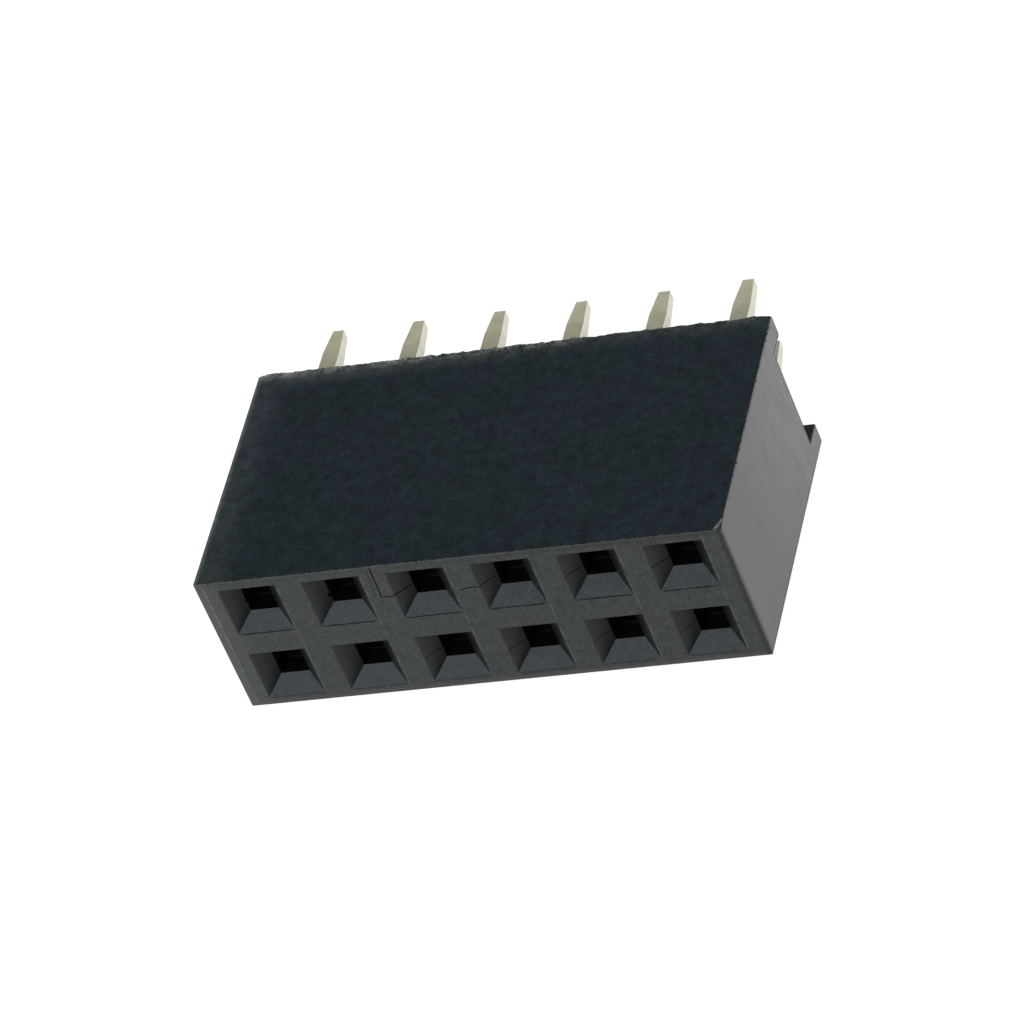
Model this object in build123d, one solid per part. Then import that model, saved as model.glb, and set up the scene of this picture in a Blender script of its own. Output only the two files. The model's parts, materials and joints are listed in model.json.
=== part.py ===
from build123d import *
import os

# Socket header: a moulded block with rows of square funnel sockets and one formed spring contact in each.
# Frame: it lies on a long side, +X along the rows, +Y from the mating face to the tails, +Z up.
# Origin: the middle of the underside, halfway between the mating face and the tail tips.

# Grid
pitch = 2.54
columns = 6
rows = 2

# Housing, outside
end_margin = 1.52
side_margin = 1.18
body_height = 8.60
edge_radius = 0.12
channel_depth = 0.82
channel_margin = 0.03

# Sockets in the mating face
funnel_mouth = 1.75
throat = 0.86
funnel_depth = 0.48
mating_wall = 1.05

# Contact, the sprung part
strip = 0.20
leaf_width = 0.64
leaf_tip_width = 0.46
grip_gap = 0.40
grip_depth = 2.20
leaf_tip_gap = 0.92
leaf_tip_clearance = 0.20
leaf_root_run = 0.70
leaf_root_bend = 3.0
grip_bend = 1.0

# Contact, the base that is pressed in
seat_depth = 6.00
base_width = 1.74
base_height = 0.86
base_length = 1.20
base_bend = 0.10
barb_length = 0.70
barb_proud = 0.07
barb_height = 0.40
barb_setback = 0.25
fit_clearance = 0.02
seat_lead_in = 0.12

# Contact, the solder tail
tail_width = 0.54
tail_thickness = 0.41
tail_reach = 2.80
tail_taper = 1.00
tip_width = 0.35
tip_thickness = 0.33
neck_run = 0.30
neck_overlap = 0.25
shoulder_width = 1.20
shoulder_run = 0.15

# Sizes that follow
body_length = (columns - 1) * pitch + 2 * end_margin
body_width = (rows - 1) * pitch + 2 * side_margin
overall_depth = body_height + tail_reach
mating_y = -overall_depth / 2
floor_depth = body_height - channel_depth
room_width = base_width + 2 * fit_clearance
room_height = leaf_width + 2 * fit_clearance
seat_height = base_height + 2 * fit_clearance
channel_width = (rows - 1) * pitch + seat_height + 2 * channel_margin
leaf_tip_depth = mating_wall + leaf_tip_clearance
base_end = seat_depth + base_length
shoulder_start = base_end + neck_run
shoulder_end = shoulder_start + shoulder_run
wall_line = (base_width - strip) / 2
grip_line = (grip_gap + strip) / 2
leaf_tip_line = (leaf_tip_gap + strip) / 2


def across(depth):
    """Plane square to the socket's axis, at a depth behind the mating face; its x is X and its y is Z."""
    return Plane(origin=(0, depth, 0), x_dir=(1, 0, 0), z_dir=(0, -1, 0))


def block(width, height, start, end):
    """Box centred on the socket's axis between two depths behind the mating face."""
    return extrude(across(end) * Rectangle(width, height), amount=end - start)


def flared(width_1, height_1, depth_1, width_2, height_2, depth_2):
    """Four-sided taper between two rectangles on the socket's axis."""
    first = across(depth_1) * Rectangle(width_1, height_1)
    second = across(depth_2) * Rectangle(width_2, height_2)
    return loft([first, second])


def barb(side):
    """Wedge on the base's side wall: it ramps up towards the tail and is steep at its back."""
    foot = side * base_width / 2
    crest = side * (base_width / 2 + barb_proud)
    start = seat_depth + barb_setback
    end = start + barb_length
    outline = Polyline((foot, start), (crest, end), (foot, end), close=True)
    return extrude(make_face(outline), amount=barb_height / 2, both=True)


def leaf(side):
    """One side of the contact: base wall, spring leaf, rounded grip point and flared tip, as bent strip."""
    bend_line = FilletPolyline(
        (side * wall_line, base_end, 0),
        (side * wall_line, seat_depth - leaf_root_run, 0),
        (side * grip_line, grip_depth, 0),
        (side * leaf_tip_line, leaf_tip_depth, 0),
        radius=[leaf_root_bend, grip_bend],
    )
    strip_end = across(base_end) * Rectangle(strip, base_height)
    bent = sweep(strip_end.moved(Location((side * wall_line, 0, 0))), path=bend_line)
    narrow = flared(2 * base_width, leaf_tip_width, 0, 2 * base_width, leaf_width, seat_depth)
    full = block(2 * base_width, base_height, seat_depth, base_end)
    return bent & (narrow + full)


def neck():
    """Joggle from the base's web back onto the socket's axis, and the square shoulders it is pushed in by."""
    web_low = -base_height / 2
    web_high = web_low + strip
    outline = Polyline(
        (base_end - neck_overlap, web_low),
        (base_end, web_low),
        (shoulder_start, -tail_thickness / 2),
        (shoulder_end, -tail_thickness / 2),
        (shoulder_end, tail_thickness / 2),
        (shoulder_start, tail_thickness / 2),
        (base_end, web_high),
        (base_end - neck_overlap, web_high),
        close=True,
    )
    side_view = Plane(origin=(0, 0, 0), x_dir=(0, 1, 0), z_dir=(1, 0, 0)) * make_face(outline)
    return extrude(side_view, amount=shoulder_width / 2, both=True)


def tail():
    """Straight solder tail with a blunt tip, tapered on four sides."""
    taper_start = body_height + tail_reach - tail_taper
    shank = block(tail_width, tail_thickness, shoulder_end, taper_start)
    tip = flared(tail_width, tail_thickness, taper_start, tip_width, tip_thickness, taper_start + tail_taper)
    return shank + tip


def contact():
    """Formed contact on the socket's axis, with the mating face at Y zero and the web of its base below."""
    web_y = (seat_depth + base_end) / 2
    web_z = (strip - base_height) / 2
    web = Pos(0, web_y, web_z) * Box(base_width, base_length, strip)
    base = leaf(1) + leaf(-1) + web
    corners = base.edges().filter_by(Axis.Y).group_by(Axis.Z)[0]
    base = fillet([corner for corner in corners if abs(corner.center().X) > wall_line], base_bend)
    return base + barb(1) + barb(-1) + neck() + tail()


def cavity():
    """All that is hollow at one socket: funnel, throat, room for the leaves, seat of the base, barb marks."""
    funnel = flared(funnel_mouth, funnel_mouth, 0, throat, throat, funnel_depth)
    hole = block(throat, throat, funnel_depth, mating_wall)
    room = block(room_width, room_height, mating_wall, seat_depth)
    seat = block(room_width, seat_height, seat_depth, floor_depth)
    lead_width = room_width + 2 * seat_lead_in
    lead_in = flared(room_width, seat_height, floor_depth - seat_lead_in, lead_width, seat_height, floor_depth)
    return funnel + hole + room + seat + lead_in + barb(1) + barb(-1)


def socket_places():
    """Name and position of every socket, row a on top and each row counted from the left end."""
    for row in range(rows):
        for column in range(columns):
            x = (column - (columns - 1) / 2) * pitch
            z = body_width / 2 + ((rows - 1) / 2 - row) * pitch
            turn = 180 if row > (rows - 1) / 2 else 0
            yield f"{'abcdefgh'[row]}{column + 1}", Pos(x, mating_y, z) * Rot(0, turn, 0)


def housing():
    """Moulded block with rounded outer edges, the open channel between two ribs, and the sockets."""
    centre = (0, mating_y + body_height / 2, body_width / 2)
    body = Pos(*centre) * Box(body_length, body_height, body_width)
    body = fillet(body.edges(), edge_radius)
    channel_y = mating_y + floor_depth + channel_depth / 2
    body -= Pos(0, channel_y, body_width / 2) * Box(body_length, channel_depth, channel_width)
    hollow = cavity()
    body -= [place * hollow for _, place in socket_places()]
    return body


os.makedirs("parts", exist_ok=True)
export_step(housing(), "parts/housing.step")
formed = contact()
for name, place in socket_places():
    export_step(place * formed, f"parts/contact_{name}.step")
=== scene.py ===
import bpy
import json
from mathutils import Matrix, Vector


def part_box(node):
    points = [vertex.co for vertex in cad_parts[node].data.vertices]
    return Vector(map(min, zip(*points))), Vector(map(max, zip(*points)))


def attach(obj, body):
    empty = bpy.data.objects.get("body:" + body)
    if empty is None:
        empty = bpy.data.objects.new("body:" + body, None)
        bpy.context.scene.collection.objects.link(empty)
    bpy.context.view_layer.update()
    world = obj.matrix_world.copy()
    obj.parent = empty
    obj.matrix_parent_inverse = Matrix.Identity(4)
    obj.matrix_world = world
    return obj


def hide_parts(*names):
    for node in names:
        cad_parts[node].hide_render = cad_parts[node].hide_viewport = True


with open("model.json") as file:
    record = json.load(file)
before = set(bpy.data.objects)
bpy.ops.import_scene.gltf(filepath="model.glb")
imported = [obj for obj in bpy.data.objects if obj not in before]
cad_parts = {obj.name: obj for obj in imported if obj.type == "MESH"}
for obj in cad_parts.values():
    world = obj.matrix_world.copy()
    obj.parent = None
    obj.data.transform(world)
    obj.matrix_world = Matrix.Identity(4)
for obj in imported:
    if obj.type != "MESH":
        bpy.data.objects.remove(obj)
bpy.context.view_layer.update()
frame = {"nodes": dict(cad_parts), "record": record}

import json
import math
import bmesh
import bpy
from mathutils import Matrix, Vector, noise

# Camera
# The part lies on a long side and is seen from in front, above and to its right, through a long lens.
# The camera is turned about its own axis, so the part's upright leans to the left in the picture.
MM = 0.001
aim = Vector((-0.290, -0.706, 1.835)) * MM
distance = 188.18 * MM
azimuth = math.radians(27.226)
elevation = math.radians(38.857)
lean = math.radians(24.104)

back = Vector((
    math.sin(azimuth) * math.cos(elevation),
    -math.cos(azimuth) * math.cos(elevation),
    math.sin(elevation),
))
level_right = Vector((0, 0, 1)).cross(back).normalized()
level_up = back.cross(level_right)
up = level_up * math.cos(lean) + level_right * math.sin(lean)
right = up.cross(back)
camera_data = bpy.data.cameras.new("camera")
camera_data.sensor_width = 36
camera_data.lens = 232.76
camera_data.clip_start = 1 * MM
camera = bpy.data.objects.new("camera", camera_data)
turn = Matrix((right, up, back)).transposed().to_4x4()
camera.matrix_world = Matrix.Translation(aim + back * distance) @ turn
scene = bpy.context.scene
scene.collection.objects.link(camera)
scene.camera = camera
scene.view_settings.view_transform = "Standard"


# Studio
# Matt white paper lies under the part. A large soft lamp stands in front, one at the right and one behind.
# The room above is dim, so the long side that faces it stays dark, while the paper shows in the other faces.
def linear(hex_colour):
    """Linear RGBA of an sRGB hex colour."""
    parts = [int(hex_colour[i:i + 2], 16) / 255 for i in (1, 3, 5)]
    return [p / 12.92 if p <= 0.04045 else ((p + 0.055) / 1.055) ** 2.4 for p in parts] + [1.0]


def add(tree, kind, inputs=(), **settings):
    """Adds a node with its settings and inputs; a kind without Node in its name is a shader node's.

    Inputs come in order, or by name or number. Each is a value, a socket, or a node, which stands for its
    first output in use.
    """
    node = tree.nodes.new(kind if "Node" in kind else "ShaderNode" + kind)
    for name, value in settings.items():
        setattr(node, name, value)
    for key, value in inputs.items() if isinstance(inputs, dict) else enumerate(inputs):
        if isinstance(value, bpy.types.Node):
            value = next(socket for socket in value.outputs if socket.enabled)
        if isinstance(value, bpy.types.NodeSocket):
            tree.links.new(value, node.inputs[key])
        else:
            node.inputs[key].default_value = value
    return node


def new_material(name):
    """Material with an empty tree, and that tree."""
    material = bpy.data.materials.new(name)
    material.use_nodes = True
    material.node_tree.nodes.clear()
    return material, material.node_tree


def seen_rays(tree):
    """1 for the rays that show the background: from the camera, and through gloss and glass."""
    path = add(tree, "LightPath").outputs
    seen = add(tree, "Math", (path["Is Camera Ray"], path["Is Glossy Ray"]), operation="MAXIMUM")
    return add(tree, "Math", (seen, path["Is Transmission Ray"]), operation="MAXIMUM")


# The room is white near the horizon and dim above it for the rays that show it, and lights the part evenly.
room_white = 1.0
room_dim = 0.064
room_light = 0.336
room = bpy.data.worlds.new("room")
room.use_nodes = True
scene.world = room
tree = room.node_tree
tree.nodes.clear()
direction = add(tree, "TexCoord").outputs["Generated"]
height = add(tree, "SeparateXYZ", (direction,)).outputs["Z"]
sky = add(tree, "MapRange", (height, 0.06, 0.34, room_white, room_dim), interpolation_type="SMOOTHSTEP")
fill = add(tree, "Mix", {0: seen_rays(tree), 2: room_light, 3: sky}, data_type="FLOAT")
backdrop = add(tree, "Background", {"Color": linear("#ffffff"), "Strength": fill})
add(tree, "OutputWorld", {"Surface": backdrop})

# Matt white paper. It glows a little for the rays that show it, more so far out where the lamps' light falls
# off, and still takes the part's shadow.
paper, tree = new_material("matt_white_paper")
place = add(tree, "TexCoord").outputs["Object"]
far_out = add(tree, "VectorMath", (place,), operation="LENGTH")
level = add(tree, "MapRange", (far_out, 0.3, 0.9, 0.78, 0.84), interpolation_type="SMOOTHSTEP")
level = add(tree, "Math", (seen_rays(tree), level), operation="MULTIPLY")
glow = add(tree, "Emission", {"Strength": level})
matt = add(tree, "BsdfDiffuse", {"Color": linear("#bcbcbc")})
add(tree, "OutputMaterial", {"Surface": add(tree, "AddShader", (matt, glow))})
floor_half = 1.5
floor_mesh = bpy.data.meshes.new("floor")
corners = [(x * floor_half, y * floor_half, 0) for x, y in ((-1, -1), (1, -1), (1, 1), (-1, 1))]
floor_mesh.from_pydata(corners, [], [(0, 1, 2, 3)])
floor = bpy.data.objects.new("floor", floor_mesh)
scene.collection.objects.link(floor)
floor_mesh.materials.append(paper)


def softbox(name, place, size, watts):
    """Square area lamp that points at the part."""
    data = bpy.data.lights.new(name, "AREA")
    data.shape = "SQUARE"
    data.size = size
    data.energy = watts
    lamp = bpy.data.objects.new(name, data)
    lamp.location = place
    lamp.rotation_mode = "QUATERNION"
    lamp.rotation_quaternion = (Vector(place) - aim).to_track_quat("Z", "Y")
    scene.collection.objects.link(lamp)


softbox("front_softbox", place=(-0.10, -0.39, 0.17), size=0.26, watts=1.5)
softbox("right_softbox", place=(0.38, 0.20, 0.09), size=0.22, watts=1.0)
softbox("rear_softbox", place=(0.16, 0.42, 0.10), size=0.22, watts=0.7)


# Housing
# One block of black glass-filled polyester, moulded round the core pins that leave its twelve funnel sockets.
# It was cut from a longer strip at the right end, and fine knit lines show where the melt met again behind
# each core pin.
low, high = (Vector(corner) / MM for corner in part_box("housing"))
socket_dims = next(m["dims"] for m in frame["record"]["mounts"] if m["name"] == "pin_sockets")
pitch = socket_dims["spacing_x_mm"]
rows = 2
columns = socket_dims["count"] // rows
middle_z = (low.z + high.z) / 2
edge_round = 0.05
moulded_end_round = 0.07
cut_end_round = 0.03
channel_depth = 0.82
channel_floor = high.y - channel_depth
rib_width = 0.70
rib_lip = 0.03
mouth = 1.75
throat = 0.86
funnel_depth = 0.48
funnel_slope = (mouth - throat) / 2 / funnel_depth
mating_wall = 1.05
seat_depth = 6.00
room_width = 1.78
room_height = 0.68
seat_height = 0.90
seat_lead_in = 0.12


def object_mm(tree):
    """Place on the piece in millimetres, from its Object coordinates."""
    place = add(tree, "TexCoord").outputs["Object"]
    return add(tree, "VectorMath", {0: place, "Scale": 1 / MM}, operation="SCALE")


# Moulded skin: satin and near black, in faint patches of blue and green, finely specked, with rubs and worn
# edges. Glass fibres are about 0.01 mm across, too fine to show, so their specks are drawn at 0.07 mm.
patch_size = 2.0
speck_size = 0.07
mottle_size = 0.30
rub_size = 0.10
moulded, tree = new_material("moulded_glass_filled_polyester")
place = object_mm(tree)
x, y, z = add(tree, "SeparateXYZ", (place,)).outputs
patches = add(tree, "TexNoise", {"Vector": place, "Scale": 1 / patch_size, "Detail": 3.0, "Roughness": 0.55})
specks = add(tree, "TexNoise", {"Vector": place, "Scale": 1 / speck_size, "Detail": 4.0, "Roughness": 0.7})
mottle = add(tree, "TexNoise", {"Vector": place, "Scale": 1 / mottle_size, "Detail": 4.0, "Roughness": 0.65})
rub = add(tree, "TexNoise", {"Vector": place, "Scale": 1 / rub_size, "Detail": 4.0, "Roughness": 0.75})

# Place in one socket's cell, from its axis, and the depth behind the mating face.
cell_x = add(tree, "Math", (x, (columns % 2 + 1) * pitch / 2), operation="ADD")
cell_x = add(tree, "Math", (cell_x, pitch / 2, -pitch / 2), operation="WRAP")
cell_z = add(tree, "Math", (z, (rows % 2 + 1) * pitch / 2 - middle_z), operation="ADD")
cell_z = add(tree, "Math", (cell_z, pitch / 2, -pitch / 2), operation="WRAP")
aside = add(tree, "Math", (cell_x,), operation="ABSOLUTE")
above = add(tree, "Math", (cell_z,), operation="ABSOLUTE")
behind = add(tree, "Math", (y, low.y), operation="SUBTRACT")
off_axis = add(tree, "Math", (aside, above), operation="MAXIMUM")
in_mouth = add(tree, "MapRange", (off_axis, mouth / 2 + 0.03, mouth / 2), interpolation_type="SMOOTHSTEP")
past_face = add(tree, "MapRange", (behind, 0.01, 0.03), interpolation_type="SMOOTHSTEP")
before_room = add(tree, "MapRange", (behind, mating_wall + 0.2, mating_wall), interpolation_type="SMOOTHSTEP")
hollow = add(tree, "Math", (in_mouth, past_face), operation="MULTIPLY")
hollow = add(tree, "Math", (hollow, before_room), operation="MULTIPLY")

# The long sides are darker than the mating face, partly in their own tint and partly as painted shade for the
# dim room above them, and a funnel's upper and lower walls are a little bluer, a painted tint of light from
# above.
on_land = add(tree, "MapRange", (behind, 0.05, 0.01), interpolation_type="SMOOTHSTEP")
side_patches = add(tree, "MapRange", (patches, 0.36, 0.64), interpolation_type="SMOOTHSTEP")
land_patches = add(tree, "MapRange", (patches, 0.40, 0.60), interpolation_type="SMOOTHSTEP")
side_tone_and_shade = add(tree, "Mix", {0: side_patches, 6: linear("#1c292b"), 7: linear("#1d2831")}, data_type="RGBA")
land_tone = add(tree, "Mix", {0: land_patches, 6: linear("#29302c"), 7: linear("#2c302f")}, data_type="RGBA")
tone = add(tree, "Mix", {0: on_land, 6: side_tone_and_shade, 7: land_tone}, data_type="RGBA")
past_corner = add(tree, "Math", (aside, above), operation="SUBTRACT")
on_side_wall = add(tree, "MapRange", (past_corner, -0.01, 0.02), interpolation_type="SMOOTHSTEP")
wall_tone_and_sky_light = add(tree, "Mix", {0: on_side_wall, 6: linear("#30393e"), 7: linear("#2d3130")}, data_type="RGBA")
tone = add(tree, "Mix", {0: hollow, 6: tone, 7: wall_tone_and_sky_light}, data_type="RGBA")

# Fine scratches, 0.05 mm wide and over 1 mm long, cross in two directions.
scratch_width = 0.05
along_rows = add(tree, "Mapping", {
    "Vector": place, "Rotation": (0, 0, math.radians(16)), "Scale": (1.4, scratch_width, 1.0),
}, vector_type="TEXTURE")
across_rows = add(tree, "Mapping", {
    "Vector": place, "Rotation": (0, 0, math.radians(97)), "Scale": (1.1, scratch_width, 1.0),
}, vector_type="TEXTURE")
scratched = add(tree, "Math", (
    add(tree, "TexNoise", {"Vector": along_rows, "Scale": 1.0, "Detail": 1.0, "Roughness": 0.6}),
    add(tree, "TexNoise", {"Vector": across_rows, "Scale": 1.0, "Detail": 1.0, "Roughness": 0.6}),
), operation="MAXIMUM")
scratched = add(tree, "MapRange", (scratched, 0.62, 0.78, 0.0, 0.26), interpolation_type="SMOOTHSTEP")
tone = add(tree, "Mix", {0: scratched, 6: tone, 7: linear("#39454c")}, data_type="RGBA")

# Specks and mottle lighten and darken the skin by about a fifth, half as much inside the funnels. The core
# pins left fine drag marks on the side walls, and what faces front is a little paler towards the moulded end.
drag_width = 0.06
drag_length = 0.5
along_wall = add(tree, "Mapping", {
    "Vector": place, "Scale": (1.0, drag_length, drag_width)}, vector_type="TEXTURE")
dragged = add(tree, "TexNoise", {"Vector": along_wall, "Scale": 1.0, "Detail": 3.0, "Roughness": 0.65})
drag = add(tree, "Math", (dragged, 1.6, -0.8), operation="MULTIPLY_ADD")
drag = add(tree, "Math", (drag, on_side_wall), operation="MULTIPLY")
in_front = add(tree, "Math", (on_land, hollow), operation="MAXIMUM")
to_the_right = add(tree, "MapRange", (x, low.x + 3.9, 2.0, 0.10, -0.10), interpolation_type="SMOOTHSTEP")
shade = add(tree, "Math", (mottle, 1.6, -2.10), operation="MULTIPLY_ADD")
shade = add(tree, "Math", (specks, 2.6, shade), operation="MULTIPLY_ADD")
swing = add(tree, "Math", (hollow, -0.45, 1.0), operation="MULTIPLY_ADD")
shade = add(tree, "Math", (shade, swing, 1.0), operation="MULTIPLY_ADD")
shade = add(tree, "Math", (drag, hollow, shade), operation="MULTIPLY_ADD")
shade = add(tree, "Math", (in_front, to_the_right, shade), operation="MULTIPLY_ADD")
shade = add(tree, "Math", (shade, 0.25), operation="MAXIMUM")
tone = add(tree, "Mix", {0: 1.0, 6: tone, 7: shade}, data_type="RGBA", blend_type="MULTIPLY")

# Little light gets to the side walls of a funnel, least of all by the throat, on the right, in the upper row,
# and along the lower crease.
darkest = 0.95
by_wall_edge = add(tree, "MapRange", (past_corner, 0.40, 0.0, 0.0, 0.35), interpolation_type="SMOOTHSTEP")
below_axis = add(tree, "MapRange", (cell_z, 0.0, -0.2), interpolation_type="SMOOTHSTEP")
right_wall = add(tree, "MapRange", (cell_x, -0.1, 0.1, 0.0, 0.22), interpolation_type="SMOOTHSTEP")
gloom = add(tree, "MapRange", (behind, -0.15, funnel_depth, 0.22, 0.93), interpolation_type="SMOOTHSTEP")
gloom = add(tree, "Math", (by_wall_edge, below_axis, gloom), operation="MULTIPLY_ADD")
gloom = add(tree, "Math", (gloom, right_wall), operation="ADD")
upper_row = add(tree, "MapRange", (z, middle_z - 0.1, middle_z + 0.1, 0.0, 0.11),
                interpolation_type="SMOOTHSTEP")
gloom = add(tree, "Math", (gloom, upper_row), operation="ADD")
gloom = add(tree, "Math", (gloom, darkest), operation="MINIMUM")
gloom = add(tree, "Math", (gloom, hollow), operation="MULTIPLY")
gloom = add(tree, "Math", (gloom, on_side_wall), operation="MULTIPLY")
tone = add(tree, "Mix", {0: gloom, 6: tone, 7: linear("#040505")}, data_type="RGBA")

# Distance to the nearest outer edge: the middle one of the distances to the block's faces.
to_end = add(tree, "Math", (high.x, add(tree, "Math", (x,), operation="ABSOLUTE")), operation="SUBTRACT")
to_back = add(tree, "Math", (high.y, y), operation="SUBTRACT")
to_face = add(tree, "Math", (behind, to_back), operation="MINIMUM")
off_middle = add(tree, "Math", (z, middle_z), operation="SUBTRACT")
off_middle = add(tree, "Math", (off_middle,), operation="ABSOLUTE")
to_side = add(tree, "Math", (high.z - middle_z, off_middle), operation="SUBTRACT")
nearer = add(tree, "Math", (to_end, to_face), operation="MINIMUM")
further = add(tree, "Math", (to_end, to_face), operation="MAXIMUM")
to_edge = add(tree, "Math", (further, to_side), operation="MINIMUM")
to_edge = add(tree, "Math", (nearer, to_edge), operation="MAXIMUM")

# The edges are worn pale in places, apart from those of the cut end.
near_edge = add(tree, "MapRange", (to_edge, 0.055, 0.02), interpolation_type="SMOOTHSTEP")
in_places = add(tree, "MapRange", (rub, 0.50, 0.70), interpolation_type="SMOOTHSTEP")
off_the_cut = add(tree, "MapRange", (x, high.x - 0.06, high.x - 0.16), interpolation_type="SMOOTHSTEP")
worn = add(tree, "Math", (near_edge, in_places), operation="MULTIPLY")
worn = add(tree, "Math", (worn, off_the_cut), operation="MULTIPLY")
half_worn = add(tree, "Math", (worn, 0.45), operation="MULTIPLY")
tone = add(tree, "Mix", {0: half_worn, 6: tone, 7: linear("#868b87")}, data_type="RGBA")

# Towards the moulded end and the board side, the long sides get paler.
by_long_side = add(tree, "MapRange", (to_side, 0.16, 0.03), interpolation_type="SMOOTHSTEP")
by_moulded_end = add(tree, "Math", (
    add(tree, "MapRange", (x, low.x + 0.20, low.x, 0.0, 0.34), interpolation_type="SMOOTHSTEP"),
    add(tree, "MapRange", (x, low.x + 1.4, low.x + 0.1, 0.0, 0.07), interpolation_type="SMOOTHSTEP"),
), operation="ADD")
by_board = add(tree, "Math", (
    add(tree, "MapRange", (to_back, 0.8, 0.0), interpolation_type="SMOOTHSTEP"),
    add(tree, "MapRange", (x, low.x + 6.9, low.x + 1.9, 0.055, 0.155), interpolation_type="SMOOTHSTEP"),
), operation="MULTIPLY")
haze = add(tree, "Math", (by_moulded_end, by_board), operation="MAXIMUM")
haze = add(tree, "Math", (haze, by_long_side), operation="MULTIPLY")
haze = add(tree, "Math", (haze, mottle), operation="MULTIPLY")
off_land = add(tree, "Math", (on_land, -2.0, 2.0), operation="MULTIPLY_ADD")
haze = add(tree, "Math", (haze, off_land), operation="MULTIPLY")
tone = add(tree, "Mix", {0: haze, 6: tone, 7: linear("#8f9792")}, data_type="RGBA")

# The ribs' outer edge is rough, stained and whitened, mostly towards the moulded end.
lump_size = 0.6
lumps = add(tree, "TexNoise", {"Vector": place, "Scale": 1 / lump_size, "Detail": 2.0, "Roughness": 0.6})
rough = add(tree, "Math", (rub, 0.6), operation="MULTIPLY")
rough = add(tree, "Math", (lumps, 0.4, rough), operation="MULTIPLY_ADD")
to_the_left = add(tree, "MapRange", (x, high.x - 5.0, high.x - 8.0, 0.12, 0.57),
                  interpolation_type="SMOOTHSTEP")
rough_edge = add(tree, "Math", (by_long_side, to_the_left), operation="MULTIPLY")
stain = add(tree, "Math", (
    add(tree, "MapRange", (to_back, 0.62, 0.10), interpolation_type="SMOOTHSTEP"),
    add(tree, "MapRange", (rough, 0.40, 0.66), interpolation_type="SMOOTHSTEP"),
), operation="MULTIPLY")
whitening = add(tree, "Math", (
    add(tree, "MapRange", (to_back, 0.30, 0.02), interpolation_type="SMOOTHSTEP"),
    add(tree, "MapRange", (rough, 0.42, 0.62), interpolation_type="SMOOTHSTEP"),
), operation="MULTIPLY")
stain = add(tree, "Math", (stain, rough_edge), operation="MULTIPLY")
whitening = add(tree, "Math", (whitening, rough_edge), operation="MULTIPLY")
tone = add(tree, "Mix", {0: stain, 6: tone, 7: linear("#575c58")}, data_type="RGBA")
tone = add(tree, "Mix", {0: whitening, 6: tone, 7: linear("#a8a9a5")}, data_type="RGBA")

# The mating face is paler at the moulded end, brownish at its foot, and darker by its cut and upper edges; by
# the upper edge that darkening is painted shade.
left_margin = add(tree, "Math", (
    add(tree, "MapRange", (x, low.x + 0.29, low.x + 0.25, 0.0, 0.16), interpolation_type="SMOOTHSTEP"),
    add(tree, "MapRange", (x, low.x + 1.1, low.x + 0.4, 0.0, 0.16), interpolation_type="SMOOTHSTEP"),
), operation="ADD")
left_margin = add(tree, "Math", (left_margin, on_land), operation="MULTIPLY")
foot = add(tree, "MapRange", (z, low.z + 0.26, low.z + 0.06, 0.0, 1.3), interpolation_type="SMOOTHSTEP")
foot = add(tree, "Math", (foot, rub), operation="MULTIPLY")
foot = add(tree, "Math", (foot, on_land), operation="MULTIPLY")
cut_margin = add(tree, "MapRange", (x, high.x - 0.20, high.x - 0.08, 0.0, 0.80),
                 interpolation_type="SMOOTHSTEP")
cut_margin = add(tree, "Math", (cut_margin, on_land), operation="MULTIPLY")
tone = add(tree, "Mix", {0: left_margin, 6: tone, 7: linear("#6c6c6d")}, data_type="RGBA")
tone = add(tree, "Mix", {0: foot, 6: tone, 7: linear("#4b4441")}, data_type="RGBA")
tone = add(tree, "Mix", {0: cut_margin, 6: tone, 7: linear("#0b0d0e")}, data_type="RGBA")
# Painted shade along the upper edge of the mating face, stronger towards the cut end.
top_edge_painted_shade = add(tree, "Math", (
    add(tree, "MapRange", (z, high.z - 0.30, high.z), interpolation_type="SMOOTHSTEP"),
    add(tree, "MapRange", (x, 0.0, 5.0, 0.22, 0.60), interpolation_type="SMOOTHSTEP"),
), operation="MULTIPLY")
top_edge_painted_shade = add(tree, "Math", (top_edge_painted_shade, on_land), operation="MULTIPLY")
tone = add(tree, "Mix", {0: top_edge_painted_shade, 6: tone, 7: linear("#0b0d0e")}, data_type="RGBA")

# The mould's fine parting lines: one in from the left end, and a fainter one beside each column of mouths.
line_from_end = 0.26
line_from_mouth = 0.035
from_left_line = add(tree, "Math", (x, low.x + line_from_end), operation="SUBTRACT")
from_left_line = add(tree, "Math", (from_left_line,), operation="ABSOLUTE")
from_mouth_line = add(tree, "Math", (cell_x, mouth / 2 + line_from_mouth), operation="SUBTRACT")
from_mouth_line = add(tree, "Math", (from_mouth_line,), operation="ABSOLUTE")
parting = add(tree, "Math", (
    add(tree, "MapRange", (from_left_line, 0.030, 0.010, 0.0, 0.55), interpolation_type="SMOOTHSTEP"),
    add(tree, "MapRange", (from_mouth_line, 0.026, 0.010, 0.0, 0.25), interpolation_type="SMOOTHSTEP"),
), operation="MAXIMUM")
broken = add(tree, "Math", (
    add(tree, "MapRange", (mottle, 0.40, 0.56), interpolation_type="SMOOTHSTEP"),
    add(tree, "MapRange", (to_side, 0.10, 0.34), interpolation_type="SMOOTHSTEP"),
), operation="MULTIPLY")
parting = add(tree, "Math", (parting, broken), operation="MULTIPLY")
parting = add(tree, "Math", (parting, on_land), operation="MULTIPLY")
tone = add(tree, "Mix", {0: parting, 6: tone, 7: linear("#6b706d")}, data_type="RGBA")
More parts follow.
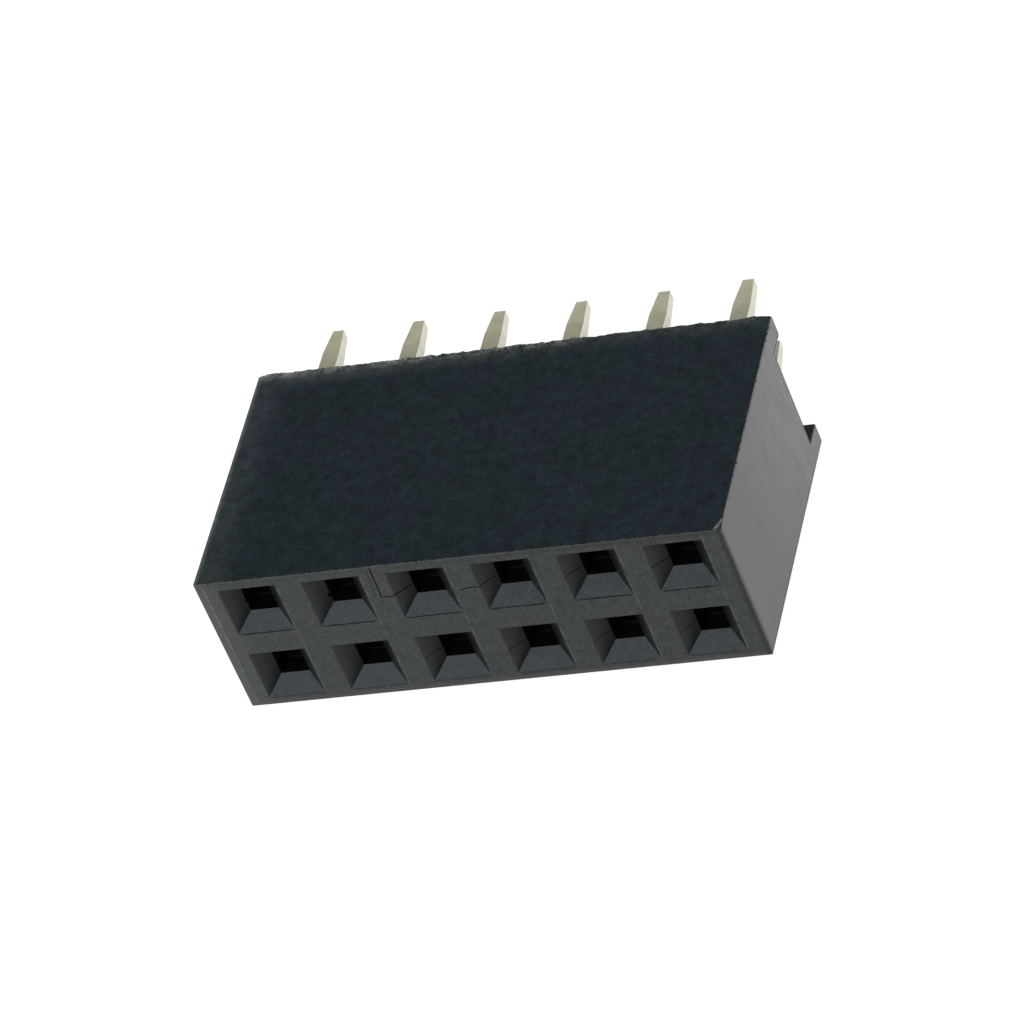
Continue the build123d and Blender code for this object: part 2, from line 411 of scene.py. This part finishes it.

# The cut end: fibre laid open by the saw and rubbed pale, its paleness partly painted light from the right
# lamp, with upright streaks 0.11 mm wide in wider bands, darker towards the mating face and scored here and
# there.
streak_width = 0.11
band_width = 0.60
on_end = add(tree, "MapRange", (x, high.x - 0.03, high.x - 0.01), interpolation_type="SMOOTHSTEP")
fine_marks = add(tree, "Mapping", {
    "Vector": place, "Rotation": (math.radians(2), 0, 0), "Scale": (1.0, streak_width, 1.5),
}, vector_type="TEXTURE")
wide_marks = add(tree, "Mapping", {
    "Vector": place, "Rotation": (math.radians(2), 0, 0), "Scale": (1.0, band_width, 2.2),
}, vector_type="TEXTURE")
streaks = add(tree, "TexNoise", {"Vector": fine_marks, "Scale": 1.0, "Detail": 4.0, "Roughness": 0.65})
bands = add(tree, "TexNoise", {"Vector": wide_marks, "Scale": 1.0, "Detail": 4.0, "Roughness": 0.65})
marks = add(tree, "Math", (specks, 0.40), operation="MULTIPLY")
marks = add(tree, "Math", (streaks, 0.20, marks), operation="MULTIPLY_ADD")
marks = add(tree, "Math", (bands, 0.40, marks), operation="MULTIPLY_ADD")
marks = add(tree, "MapRange", (marks, 0.36, 0.64), interpolation_type="SMOOTHSTEP")
to_front = add(tree, "MapRange", (y, high.y + 0.3, low.y + 1.1, 0.0, 0.93), interpolation_type="SMOOTHSTEP")
scored = add(tree, "Math", (
    add(tree, "MapRange", (streaks, 0.57, 0.66, 0.0, 0.5), interpolation_type="SMOOTHSTEP"),
    add(tree, "MapRange", (bands, 0.50, 0.58), interpolation_type="SMOOTHSTEP"),
), operation="MULTIPLY")
end_tone_and_lamp_light = add(tree, "Mix", {0: marks, 6: linear("#737373"), 7: linear("#898989")}, data_type="RGBA")
end_tone_and_lamp_light = add(tree, "Mix", {0: to_front, 6: end_tone_and_lamp_light, 7: linear("#686868")}, data_type="RGBA")
end_tone_and_lamp_light = add(tree, "Mix", {0: scored, 6: end_tone_and_lamp_light, 7: linear("#555556")}, data_type="RGBA")

# A thin dark rim runs round the cut end and its notch, fainter along the upper edge.
past_floor = add(tree, "Math", (channel_floor, y), operation="SUBTRACT")
past_rib = add(tree, "Math", (off_middle, (high.z - low.z) / 2 - rib_width), operation="SUBTRACT")
to_notch = add(tree, "Math", (past_floor, past_rib), operation="MAXIMUM")
to_notch = add(tree, "Math", (to_notch, 0.02), operation="ADD")
to_rim = add(tree, "Math", (to_edge, to_notch), operation="MINIMUM")
rim = add(tree, "Math", (
    add(tree, "MapRange", (to_rim, 0.10, 0.05, 0.0, 0.85), interpolation_type="SMOOTHSTEP"),
    add(tree, "MapRange", (rub, 0.30, 0.48), interpolation_type="SMOOTHSTEP"),
), operation="MULTIPLY")
by_top = add(tree, "MapRange", (z, high.z - 0.30, high.z - 0.12, 1.0, 0.35), interpolation_type="SMOOTHSTEP")
rim = add(tree, "Math", (rim, by_top), operation="MULTIPLY")
# By the mating face the cut end is darkened over 0.29 mm: painted shade.
front_painted_shade = add(tree, "MapRange", (behind, 0.29, 0.0, 0.0, 0.72), interpolation_type="SMOOTHSTEP")
rim = add(tree, "Math", (rim, front_painted_shade), operation="MAXIMUM")
end_tone_and_lamp_light = add(tree, "Mix", {0: rim, 6: end_tone_and_lamp_light, 7: linear("#262624")}, data_type="RGBA")
tone = add(tree, "Mix", {0: on_end, 6: tone, 7: end_tone_and_lamp_light}, data_type="RGBA")

# Bare fibre is duller than the skin, and the streaks, mottle and specks stand out a little.
relief_height = 0.012
bare = add(tree, "Math", (worn, on_end), operation="MAXIMUM")
dullness = add(tree, "Math", (mottle, 0.16, 0.34), operation="MULTIPLY_ADD")
dullness = add(tree, "Math", (bare, 0.18, dullness), operation="MULTIPLY_ADD")
relief = add(tree, "Math", (streaks, on_end), operation="MULTIPLY")
relief = add(tree, "Math", (relief, 1.2), operation="MULTIPLY")
relief = add(tree, "Math", (mottle, 0.6, relief), operation="MULTIPLY_ADD")
relief = add(tree, "Math", (specks, 0.5, relief), operation="MULTIPLY_ADD")
bump = add(tree, "Bump", {"Height": relief, "Strength": 0.5, "Distance": relief_height * MM})
surface = add(tree, "BsdfPrincipled", {
    "Base Color": tone, "Roughness": dullness, "Normal": bump, "IOR": 1.5, "Specular IOR Level": 0.28})
add(tree, "OutputMaterial", {"Surface": surface})

# Deep in a socket no light falls, so this near-black material is painted shade, used there and in the grooves
# and nicks. It is the same plastic, matt from the core pin, with soft flow marks 0.15 mm wide.
flow_width = 0.15
unlit, tree = new_material("matt_glass_filled_polyester")
flow = add(tree, "TexNoise", {
    "Vector": object_mm(tree), "Scale": 1 / flow_width, "Detail": 3.0, "Roughness": 0.6})
tone = add(tree, "Mix", {0: flow, 6: linear("#020202"), 7: linear("#050606")}, data_type="RGBA")
surface = add(tree, "BsdfPrincipled", {
    "Base Color": tone, "Roughness": 0.75, "IOR": 1.5, "Specular IOR Level": 0.10})
add(tree, "OutputMaterial", {"Surface": surface})

# Fresh chips along the edges lay the fibre open in flakes about 0.12 mm wide: pale by the skin, dark below.
flake_size = 0.12
chipped, tree = new_material("chipped_glass_filled_polyester")
place = object_mm(tree)
flakes = add(tree, "TexNoise", {"Vector": place, "Scale": 1 / flake_size, "Detail": 2.0, "Roughness": 0.6})
flakes = add(tree, "MapRange", (flakes, 0.4, 0.6), interpolation_type="SMOOTHSTEP")
z = add(tree, "SeparateXYZ", (place,)).outputs["Z"]
off_middle = add(tree, "Math", (z, middle_z), operation="SUBTRACT")
off_middle = add(tree, "Math", (off_middle,), operation="ABSOLUTE")
below_skin = add(tree, "Math", (high.z - middle_z, off_middle), operation="SUBTRACT")
by_skin = add(tree, "MapRange", (below_skin, 0.030, 0.010), interpolation_type="SMOOTHSTEP")
tone = add(tree, "Mix", {0: flakes, 6: linear("#565b5b"), 7: linear("#7a7f7e")}, data_type="RGBA")
tone = add(tree, "Mix", {0: by_skin, 6: linear("#2b3030"), 7: tone}, data_type="RGBA")
surface = add(tree, "BsdfPrincipled", {
    "Base Color": tone, "Roughness": 0.7, "IOR": 1.5, "Specular IOR Level": 0.3})
add(tree, "OutputMaterial", {"Surface": surface})


def skin(bm, sections):
    """Closed skin through sections of as many points each, with a flat cap at both ends."""
    rings = [[bm.verts.new(point) for point in section] for section in sections]
    for first, second in zip(rings, rings[1:]):
        for i in range(len(first)):
            bm.faces.new((first[i - 1], first[i], second[i], second[i - 1]))
    bm.faces.new(rings[0])
    bm.faces.new(rings[-1])


def mesh_of(bm, name, material):
    """Mesh of a closed bmesh, with its faces turned outwards and one material."""
    bmesh.ops.recalc_face_normals(bm, faces=bm.faces)
    mesh = bpy.data.meshes.new(name)
    bm.to_mesh(mesh)
    bm.free()
    mesh.materials.append(material)
    return mesh


def quarter(centre, radii, start, steps=5):
    """Quarter turn of an ellipse as (y, z) points, from a start angle in degrees."""
    angles = [math.radians(start + 90 * i / steps) for i in range(steps + 1)]
    return [(centre[0] + radii[0] * math.cos(a), centre[1] + radii[1] * math.sin(a)) for a in angles]


def outline(front_inset, inset, flash=0.0):
    """Section of the block across its rows as (y, z) points, the outer faces moved in by an inset.

    Flash raises the outer edge of the upper rib.
    """
    front, rear = low.y + front_inset, high.y - inset
    bottom, top = low.z + inset, high.z - inset
    least = 0.01
    radius = max(edge_round - inset, least)
    front_radii = (max(edge_round - front_inset, least), radius)
    lower_wall, upper_wall = low.z + rib_width, high.z - rib_width
    rib_edge = quarter((rear - radius, top - radius), (radius, radius), 0)
    rises = [flash * math.sin(math.pi * i / (len(rib_edge) - 1)) for i in range(len(rib_edge))]
    return (
        quarter((rear - radius, bottom + radius), (radius, radius), -90)
        + [(rear, lower_wall - rib_lip), (rear - rib_lip, lower_wall), (channel_floor, lower_wall)]
        + [(channel_floor, upper_wall), (rear - rib_lip, upper_wall), (rear, upper_wall + rib_lip)]
        + [(y + rise, z + rise) for (y, z), rise in zip(rib_edge, rises)]
        + quarter((front + front_radii[0], top - radius), front_radii, 90)
        + quarter((front + front_radii[0], bottom + radius), front_radii, 180)
    )


def inset_at(depth, radius):
    """How far a rounded end draws the outline in, at a depth from the end face."""
    return radius - math.sqrt(radius ** 2 - (radius - depth) ** 2) if depth < radius else 0.0


def depths(radius, steps):
    """Depths of the sections that round an end, from its face inwards."""
    return [radius * (1 - math.cos(math.pi / 2 * i / steps)) for i in range(steps + 1)]


def flash_at(x):
    """Height of the moulding flash on the upper rib's outer edge: long swells, lumps and fine teeth."""
    height = 0.028
    for rise, waves_per_mm, seed in ((0.032, 1.7, 3), (0.024, 5, 5), (0.012, 13, 8)):
        height += rise * noise.noise(Vector((x * waves_per_mm, 0, seed)))
    return max(height, 0)


# The block: sections that round its moulded end, then one every 0.07 mm for the flash, up to the cut end.
flash_step = 0.07
block = bmesh.new()
sections = []
for depth in depths(moulded_end_round, 6):
    ring = outline(inset_at(depth, moulded_end_round), inset_at(depth, edge_round))
    sections.append([(low.x + depth, y, z) for y, z in ring])
start = low.x + moulded_end_round
run = high.x - cut_end_round - start
count = round(run / flash_step)
for i in range(1, count):
    x = start + run * i / count
    sections.append([(x, y, z) for y, z in outline(0, 0, flash_at(x))])
for depth in reversed(depths(cut_end_round, 3)):
    ring = outline(inset_at(depth, cut_end_round), inset_at(depth, cut_end_round))
    sections.append([(high.x - depth, y, z) for y, z in ring])
skin(block, sections)
block = mesh_of(block, "block", moulded)


def frame_round_axis(depth, width, height):
    """Rectangle round a socket's axis, at a depth behind the mating face."""
    corners = ((1, 1), (-1, 1), (-1, -1), (1, -1))
    return [(across * width / 2, low.y + depth, upright * height / 2) for across, upright in corners]


# Cutters for one socket: the funnel with its throat, then the room for the leaves and the seat of the base.
outside = 0.10
overlap = 0.02
wide = mouth + 2 * outside * funnel_slope
funnel = bmesh.new()
skin(funnel, [
    frame_round_axis(-outside, wide, wide),
    frame_round_axis(funnel_depth, throat, throat),
    frame_round_axis(mating_wall + overlap, throat, throat),
])
funnel = mesh_of(funnel, "funnel", moulded)

floor_depth = channel_floor - low.y
step_run = 0.01
chamber = bmesh.new()
skin(chamber, [
    frame_round_axis(mating_wall, room_width, room_height),
    frame_round_axis(seat_depth - step_run, room_width, room_height),
    frame_round_axis(seat_depth, room_width, seat_height),
    frame_round_axis(floor_depth - seat_lead_in, room_width, seat_height),
    frame_round_axis(floor_depth + seat_lead_in, room_width + 4 * seat_lead_in, seat_height),
])
chamber = mesh_of(chamber, "chamber", unlit)


def new_tree(name, **inputs):
    """Geometry Nodes tree with a Geometry input and output and named inputs, and its two end nodes."""
    tree = bpy.data.node_groups.new(name, "GeometryNodeTree")
    tree.interface.new_socket("Geometry", in_out="INPUT", socket_type="NodeSocketGeometry")
    for title, kind in inputs.items():
        tree.interface.new_socket(title.replace("_", " "), in_out="INPUT", socket_type="NodeSocket" + kind)
    tree.interface.new_socket("Geometry", in_out="OUTPUT", socket_type="NodeSocketGeometry")
    return tree, add(tree, "NodeGroupInput").outputs, add(tree, "NodeGroupOutput")


def settled(thing):
    """Plain mesh of an object as its modifiers leave it; the object itself goes."""
    graph = bpy.context.evaluated_depsgraph_get()
    mesh = bpy.data.meshes.new_from_object(thing.evaluated_get(graph))
    thing.modifiers.clear()
    bpy.data.objects.remove(thing)
    return mesh


def grown(source, tree, **sizes):
    """Plain mesh that a tree makes of a mesh, with the tree's inputs set by their sockets' identifiers."""
    thing = bpy.data.objects.new("growing", source)
    scene.collection.objects.link(thing)
    modifier = thing.modifiers.new("tree", "NODES")
    modifier.node_group = tree
    for item in tree.interface.items_tree:
        if item.in_out == "INPUT" and item.name.replace(" ", "_") in sizes:
            modifier[item.identifier] = sizes[item.name.replace(" ", "_")]
    return settled(thing)


# A grid of cavities: one for each socket, painted near black as shade past the depth where the throat begins.
cavities, given, made = new_tree(
    "cavities_in_a_grid", Columns="Int", Rows="Int", Pitch="Float", Middle_Z="Float", Black_From="Float")
gaps_across = add(cavities, "Math", (given["Columns"], 1.0), operation="SUBTRACT")
gaps_up = add(cavities, "Math", (given["Rows"], 1.0), operation="SUBTRACT")
grid = add(cavities, "GeometryNodeMeshGrid", {
    "Size X": add(cavities, "Math", (gaps_across, given["Pitch"]), operation="MULTIPLY"),
    "Size Y": add(cavities, "Math", (gaps_up, given["Pitch"]), operation="MULTIPLY"),
    "Vertices X": given["Columns"], "Vertices Y": given["Rows"]})
lift = add(cavities, "CombineXYZ", {"Z": given["Middle Z"]})
upright = add(cavities, "GeometryNodeTransform", {
    "Geometry": grid, "Translation": lift, "Rotation": (math.pi / 2, 0, 0)})
placed = add(cavities, "GeometryNodeInstanceOnPoints", {"Points": upright, "Instance": given["Geometry"]})
real = add(cavities, "GeometryNodeRealizeInstances", (placed,))
spot = add(cavities, "SeparateXYZ", (add(cavities, "GeometryNodeInputPosition"),)).outputs
deep = add(cavities, "Math", (spot["Y"], given["Black From"]), operation="GREATER_THAN")
plain = add(cavities, "GeometryNodeSetMaterial", {"Geometry": real, "Material": moulded})
painted_shade_inside = add(cavities, "GeometryNodeSetMaterial", {"Geometry": plain, "Selection": deep, "Material": unlit})
cavities.links.new(painted_shade_inside.outputs[0], made.inputs[0])
layout = dict(Columns=columns, Rows=rows, Pitch=pitch, Middle_Z=middle_z)
funnels = grown(funnel, cavities, Black_From=low.y + funnel_depth + overlap, **layout)
chambers = grown(chamber, cavities, Black_From=low.y, **layout)

# Knit lines and lines of painted shadow under the mouths: fine V grooves, drawn on the mating face and on the
# funnels' left walls.
land = Vector((0, -1, 0))
left_wall = Vector((1, -funnel_slope, 0)).normalized()


def socket_at(column, row):
    """Place (x, z) of a socket's axis: row 0 is on top, and columns count from the left end."""
    return (column - (columns + 1) / 2) * pitch, middle_z + (0.5 - row) * pitch


def on_face(x, z, column):
    """Point and outward direction of the face at a place: the land, or a socket's left wall."""
    past = x - (socket_at(column, 0)[0] - mouth / 2)
    if past <= 0:
        return Vector((x, low.y, z)), land
    return Vector((x, low.y + past / funnel_slope, z)), left_wall


def wander(points, step=0.07, sway=0.014):
    """The same route in short steps, each a little out of line."""
    route = []
    for (x1, z1), (x2, z2) in zip(points, points[1:]):
        count = max(1, round(math.hypot(x2 - x1, z2 - z1) / step))
        route += [(x1 + (x2 - x1) * i / count, z1 + (z2 - z1) * i / count) for i in range(count)]
    route.append(points[-1])
    waves_per_mm = 9
    swayed = []
    for x, z in route:
        aside, up = (noise.noise(Vector((x * waves_per_mm, z * waves_per_mm, seed))) for seed in (1, 7))
        swayed.append((x + sway * aside, z + sway * up))
    return swayed


def groove(bm, route, width, depth):
    """V-shaped cutter along a route of points and outward directions, narrow at both ends."""
    sections = []
    last = len(route) - 1
    for i, (point, outward) in enumerate(route):
        ahead = route[min(i + 1, last)][0] - route[max(i - 1, 0)][0]
        share = 0.2 if i in (0, last) else 1.0
        aside = ahead.cross(outward).normalized() * width * share
        sections.append([point + outward * depth + aside, point + outward * depth - aside,
                         point - outward * depth * share])
    skin(bm, sections)


# A knit line leaves most left walls half way up. The third socket's runs on across the land to the upper
# edge, with a fainter one beside it, and the fourth's starts well out on the land.
line_depth = 0.035
fine_line = 0.020
knitted = ((1, 0), (3, 0), (4, 0), (5, 0), (6, 0), (3, 1), (4, 1), (5, 1), (6, 1))
third, _ = socket_at(3, 0)
cracks = bmesh.new()
for column, row in knitted:
    centre_x, centre_z = socket_at(column, row)
    start = 0.60 if column == 1 else mouth / 2 + 0.02
    line = [(centre_x - start, centre_z), (centre_x - 0.62, centre_z - 0.01),
            (centre_x - 0.41, centre_z - 0.07)]
    width = fine_line * (1.0 if row else 1.4)
    if (column, row) == (3, 0):
        line = [(third - 1.24, 4.88), (third - 1.25, 4.40), (third - 1.27, 3.72), (third - 1.02, 3.70)] + line
        width = fine_line * 1.8
    if (column, row) == (4, 0):
        line = [(centre_x - 1.55, centre_z - 0.06), (centre_x - 1.15, centre_z + 0.01)] + line
    groove(cracks, [on_face(x, z, column) for x, z in wander(line)], width, line_depth)
# The knit lines' grooves take the near-black material: painted shade inside them.
cracks = mesh_of(cracks, "cracks", unlit)
faint_line = 0.022
faint_depth = 0.016
scratch = bmesh.new()
line = [(third - 1.37, 4.80), (third - 1.41, 3.72)]
groove(scratch, [on_face(x, z, 3) for x, z in wander(line)], faint_line, faint_depth)
scratch = mesh_of(scratch, "scratch", moulded)

# A fine groove runs under each mouth, wider in the upper row, faced with the near-black material: a painted
# shadow along the mouth's lower edge.
lower_lip = Vector((0, -0.85, 0.53)).normalized()
below_lip = 0.012
reach = mouth / 2 + 0.01
witness = bmesh.new()
for column in range(1, columns + 1):
    for row in range(rows):
        centre_x, centre_z = socket_at(column, row)
        foot_z = centre_z - reach - below_lip
        ends = [(centre_x - reach, foot_z), (centre_x + reach, foot_z)]
        route = [(Vector((x, low.y, z)), lower_lip) for x, z in wander(ends, step=0.16, sway=0.008)]
        groove(witness, route, 0.010 if row else 0.024, line_depth)
witness = mesh_of(witness, "witness", unlit)

# Chips: small bites of random size along the block's outer edges.
chips, given, made = new_tree(
    "chips_along_edges", Spacing="Float", Smallest="Float", Largest="Float", Sway="Float", Seed="Int")
line = add(chips, "GeometryNodeMeshToCurve", (given["Geometry"],))
dots = add(chips, "GeometryNodeCurveToPoints", {"Curve": line, "Length": given["Spacing"]}, mode="LENGTH")
far = add(chips, "CombineXYZ", (given["Sway"], given["Sway"], given["Sway"]))
near = add(chips, "VectorMath", {0: far, "Scale": -1.0}, operation="SCALE")
shift = add(chips, "FunctionNodeRandomValue", {
    0: near, 1: far, "Seed": given["Seed"]}, data_type="FLOAT_VECTOR")
moved = add(chips, "GeometryNodeSetPosition", {"Geometry": dots, "Offset": shift})
size = add(chips, "FunctionNodeRandomValue", {
    2: given["Smallest"], 3: given["Largest"], "Seed": given["Seed"]}, data_type="FLOAT")
turned = add(chips, "FunctionNodeRandomValue", {
    0: (0, 0, 0), 1: (math.tau, math.tau, math.tau), "Seed": given["Seed"]}, data_type="FLOAT_VECTOR")
bite = add(chips, "GeometryNodeMeshIcoSphere", {"Radius": 1.0, "Subdivisions": 1})
placed = add(chips, "GeometryNodeInstanceOnPoints", {
    "Points": moved, "Instance": bite, "Rotation": turned, "Scale": size})
real = add(chips, "GeometryNodeRealizeInstances", (placed,))
coated = add(chips, "GeometryNodeSetMaterial", {"Geometry": real, "Material": chipped})
chips.links.new(coated.outputs[0], made.inputs[0])


def chips_along(start, end, **sizes):
    """Mesh of chips along one straight edge."""
    edge = bpy.data.meshes.new("edge")
    edge.from_pydata([start, end], [(0, 1)], [])
    return grown(edge, chips, **sizes)


# The lines of chips follow the rounded edges, which lie this far inside the block's square corners.
rounded = edge_round * (1 - math.sqrt(0.5))
crisp = cut_end_round * (1 - math.sqrt(0.5))
left, right_end, cut_x = low.x + 0.25, high.x - 0.08, high.x - crisp
rear_y, front_y = high.y - rounded, low.y + rounded
top_z, bottom_z = high.z - rounded, low.z + rounded
bites = [
    chips_along((left, rear_y, top_z), (right_end, rear_y, top_z),
                Spacing=0.23, Smallest=0.012, Largest=0.036, Sway=0.040, Seed=3),
    chips_along((left, rear_y, bottom_z), (right_end, rear_y, bottom_z),
                Spacing=0.17, Smallest=0.020, Largest=0.050, Sway=0.020, Seed=4),
    chips_along((left, front_y, top_z), (right_end, front_y, top_z),
                Spacing=0.21, Smallest=0.010, Largest=0.032, Sway=0.020, Seed=5),
    chips_along((left, front_y, bottom_z), (right_end, front_y, bottom_z),
                Spacing=0.19, Smallest=0.015, Largest=0.040, Sway=0.020, Seed=6),
    chips_along((cut_x, low.y + 0.2, high.z - crisp), (cut_x, high.y - 0.2, high.z - crisp),
                Spacing=0.27, Smallest=0.012, Largest=0.045, Sway=0.020, Seed=7),
    chips_along((cut_x, low.y + 0.2, low.z + crisp), (cut_x, high.y - 0.2, low.z + crisp),
                Spacing=0.15, Smallest=0.012, Largest=0.040, Sway=0.016, Seed=8),
]

# The corner between mating face, upper side and cut end is knocked off, and a few funnels have a nick.
off_face, off_side, off_height = 0.24, 0.55, 0.055
corner = Vector((high.x, low.y, high.z))
facet = [corner + Vector((-off_face, 0, 0)), corner + Vector((0, off_side, 0)),
         corner + Vector((0, 0, -off_height))]
facet_middle = sum(facet, Vector()) / 3
knocked = bmesh.new()
points = [facet_middle + (point - facet_middle) * 2 for point in facet] + [corner + Vector((0.3, -0.3, 0.3))]
bmesh.ops.convex_hull(knocked, input=[knocked.verts.new(point) for point in points])
knocked = mesh_of(knocked, "knocked_corner", chipped)
# The nicks take the near-black material: painted shade inside each.
nicks = bmesh.new()
for column, row, from_axis, radius in (
    (1, 0, (-0.44, 0.47, -0.06), 0.045),
    (2, 0, (-0.45, 0.46, -0.13), 0.075),
    (6, 0, (0.67, 0.22, -0.60), 0.055),
    (6, 1, (-0.70, 0.10, 0.02), 0.045),
):
    centre_x, centre_z = socket_at(column, row)
    place = Vector((centre_x, low.y, centre_z)) + Vector(from_axis)
    bmesh.ops.create_icosphere(nicks, subdivisions=1, radius=radius, matrix=Matrix.Translation(place))
nicks = mesh_of(nicks, "nicks", unlit)


def carved(solid, *cutters):
    """Mesh of a solid with each cutter taken out of it; a cut face keeps its cutter's material.

    The cracks' grooves cross one another, so their cut minds the cutter's own overlaps.
    """
    thing = bpy.data.objects.new("solid", solid)
    scene.collection.objects.link(thing)
    tools = []
    for cutter in cutters:
        tool = bpy.data.objects.new("cutter", cutter)
        scene.collection.objects.link(tool)
        tools.append(tool)
        cut = thing.modifiers.new("cut", "BOOLEAN")
        cut.operation = "DIFFERENCE"
        cut.solver = "EXACT"
        cut.material_mode = "TRANSFER"
        cut.use_self = cutter.name.startswith("cracks")
        cut.object = tool
    mesh = settled(thing)
    for tool in tools:
        bpy.data.objects.remove(tool)
    return mesh


def finished(name, mesh):
    """Piece of a mesh in millimetres, brought to metres, with stray and doubled points cleared."""
    too_close = 0.0005
    bm = bmesh.new()
    bm.from_mesh(mesh)
    bmesh.ops.remove_doubles(bm, verts=bm.verts, dist=too_close)
    bmesh.ops.dissolve_degenerate(bm, edges=bm.edges, dist=too_close)
    bmesh.ops.scale(bm, vec=(MM, MM, MM), verts=bm.verts)
    bm.to_mesh(mesh)
    bm.free()
    piece = bpy.data.objects.new(name, mesh)
    scene.collection.objects.link(piece)
    return piece


housing = finished("moulded_housing", carved(
    block, funnels, chambers, cracks, scratch, witness, nicks, knocked, *bites))
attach(housing, "root")
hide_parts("housing")


# Contacts
# Twelve contacts, each stamped and formed from one strip of spring bronze and pressed in from the board side.
# Pale straw-coloured plating covers them, and their sheared edges are softened by it.
sheared_edge = 0.045
sharp_angle = math.radians(40)
flat_angle = math.radians(1)
weld_distance = 0.001
leans = {"contact_a6": Vector((0.04, 0, 0.07)), "contact_b6": Vector((0.07, 0, 0.18))}

# The plating is matt and semi-metallic, with soft clouds and fine marks of drawing along the strip. Its
# crystals are a few thousandths of a millimetre across, too fine to show, so they are drawn at 0.035 mm.
cloud_size = 0.45
crystal_size = 0.035
drawn_width = 0.05
drawn_length = 1.2
drawn_height = 0.006
plated, tree = new_material("matt_plated_spring_bronze")
place = object_mm(tree)
x, y, z = add(tree, "SeparateXYZ", (place,)).outputs
cloud = add(tree, "TexNoise", {"Vector": place, "Scale": 1 / cloud_size, "Detail": 3.0, "Roughness": 0.6})
crystals = add(tree, "TexNoise", {
    "Vector": place, "Scale": 1 / crystal_size, "Detail": 3.0, "Roughness": 0.7})
along_strip = add(tree, "Mapping", {
    "Vector": place, "Scale": (drawn_width, drawn_length, drawn_width)}, vector_type="TEXTURE")
drawn = add(tree, "TexNoise", {"Vector": along_strip, "Scale": 1.0, "Detail": 2.0, "Roughness": 0.6})
clouded = add(tree, "MapRange", (cloud, 0.30, 0.70), interpolation_type="SMOOTHSTEP")
speckled = add(tree, "MapRange", (crystals, 0.55, 0.75, 0.0, 0.35), interpolation_type="SMOOTHSTEP")
tone = add(tree, "Mix", {0: clouded, 6: linear("#eae7c8"), 7: linear("#f2f0d8")}, data_type="RGBA")
tone = add(tree, "Mix", {0: speckled, 6: tone, 7: linear("#b7b189")}, data_type="RGBA")

# The lower contact by the cut end came out paler.
by_cut = add(tree, "MapRange", (x, high.x - 2.0, high.x - 1.9, 0.0, 0.55), interpolation_type="SMOOTHSTEP")
in_low_row = add(tree, "MapRange", (z, middle_z, middle_z - 0.1), interpolation_type="SMOOTHSTEP")
paler = add(tree, "Math", (by_cut, in_low_row), operation="MULTIPLY")
tone = add(tree, "Mix", {0: paler, 6: tone, 7: linear("#e6e5e2")}, data_type="RGBA")
dullness = add(tree, "Math", (cloud, 0.20, 0.50), operation="MULTIPLY_ADD")
relief = add(tree, "Math", (drawn, 0.6), operation="MULTIPLY")
relief = add(tree, "Math", (crystals, 0.5, relief), operation="MULTIPLY_ADD")
bump = add(tree, "Bump", {"Height": relief, "Strength": 0.5, "Distance": drawn_height * MM})
surface = add(tree, "BsdfPrincipled", {
    "Base Color": tone, "Metallic": 0.62, "Roughness": dullness, "Normal": bump})
add(tree, "OutputMaterial", {"Surface": surface})

# The tails' sheared sides are greyer and duller, partly as painted shade against the right lamp's light on
# them, with fine marks of the punch through their thickness.
punch_width = 0.06
punch_length = 0.5
punch_height = 0.003
sheared_and_shaded, tree = new_material("sheared_plated_spring_bronze")
through = add(tree, "Mapping", {
    "Vector": object_mm(tree), "Scale": (1.0, punch_width, punch_length)}, vector_type="TEXTURE")
punched = add(tree, "TexNoise", {"Vector": through, "Scale": 1.0, "Detail": 2.0, "Roughness": 0.6})
marks = add(tree, "MapRange", (punched, 0.35, 0.65), interpolation_type="SMOOTHSTEP")
tone = add(tree, "Mix", {0: marks, 6: linear("#d0cfbf"), 7: linear("#dad9c9")}, data_type="RGBA")
bump = add(tree, "Bump", {"Height": punched, "Strength": 0.5, "Distance": punch_height * MM})
surface = add(tree, "BsdfPrincipled", {
    "Base Color": tone, "Metallic": 0.55, "Roughness": 0.62, "Normal": bump})
add(tree, "OutputMaterial", {"Surface": surface})

# Each contact starts from its solid. The last tail of each row is bent a little from handling, and all edges
# are rounded.
for name, node in frame["nodes"].items():
    if name.startswith("contact_"):
        bm = bmesh.new()
        bm.from_mesh(node.data)
        bmesh.ops.scale(bm, vec=(1 / MM, 1 / MM, 1 / MM), verts=bm.verts)
        bmesh.ops.remove_doubles(bm, verts=bm.verts, dist=weld_distance)
        bmesh.ops.dissolve_limit(bm, angle_limit=flat_angle, verts=bm.verts, edges=bm.edges)
        tail_end = max(vertex.co.y for vertex in bm.verts)
        for vertex in bm.verts:
            share = max(0, (vertex.co.y - channel_floor) / (tail_end - channel_floor))
            vertex.co += leans.get(name, Vector()) * share
        for face in bm.faces:
            faces_sideways = abs(face.normal.x) > 0.8
            on_tail = face.calc_center_median().y > channel_floor
            if faces_sideways and on_tail:
                face.material_index = 1
        formed = bpy.data.objects.new("formed", mesh_of(bm, name, plated))
        formed.data.materials.append(sheared_and_shaded)
        scene.collection.objects.link(formed)
        soften = formed.modifiers.new("sheared_edge", "BEVEL")
        soften.width = sheared_edge
        soften.segments = 2
        soften.limit_method = "ANGLE"
        soften.angle_limit = sharp_angle
        contact = finished("formed_" + name, settled(formed))
        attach(contact, "root")
        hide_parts(name)
